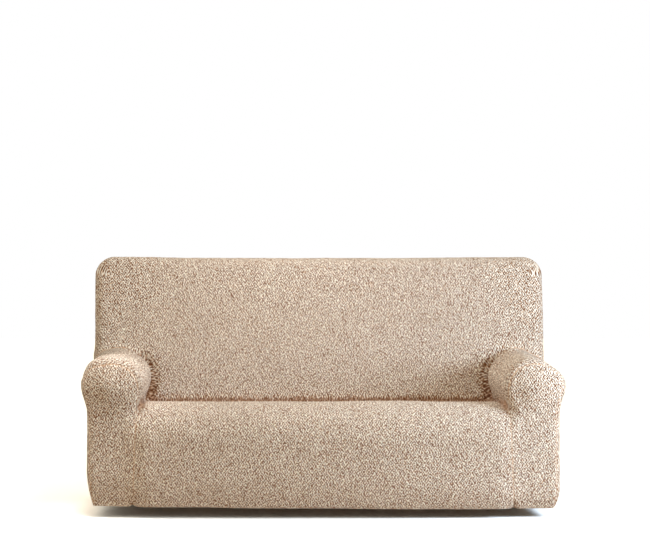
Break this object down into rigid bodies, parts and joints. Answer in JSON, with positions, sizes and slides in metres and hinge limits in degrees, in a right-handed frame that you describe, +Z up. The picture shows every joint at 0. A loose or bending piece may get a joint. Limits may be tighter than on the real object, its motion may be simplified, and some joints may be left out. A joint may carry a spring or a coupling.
{
  "type": "sofa slipcover",
  "caption": "Fitted stretch-knit sofa slipcover with rolled arms, a straight apron and an elastic hem, hollow and open below, in its pulled-tight shape.",
  "frame": {"origin": "middle of the back's top, on the underside of the cloth, halfway between the back's face and the rear panel", "axes": "+X across to the right as the cover is seen from the front, +Y towards the back, +Z up"},
  "size_m": [1.8832, 0.885, 0.9842],
  "materials": {
    "knit": "matte crinkled stretch knit, sand beige"
  },
  "bodies": {
    "root": {"inside_back": "knit", "outside_back": "knit", "seat_and_apron": "knit", "arm_cover_left": "knit", "arm_cover_right": "knit", "arm_front_left": "knit", "arm_front_right": "knit"}
  },
  "joints": []
}
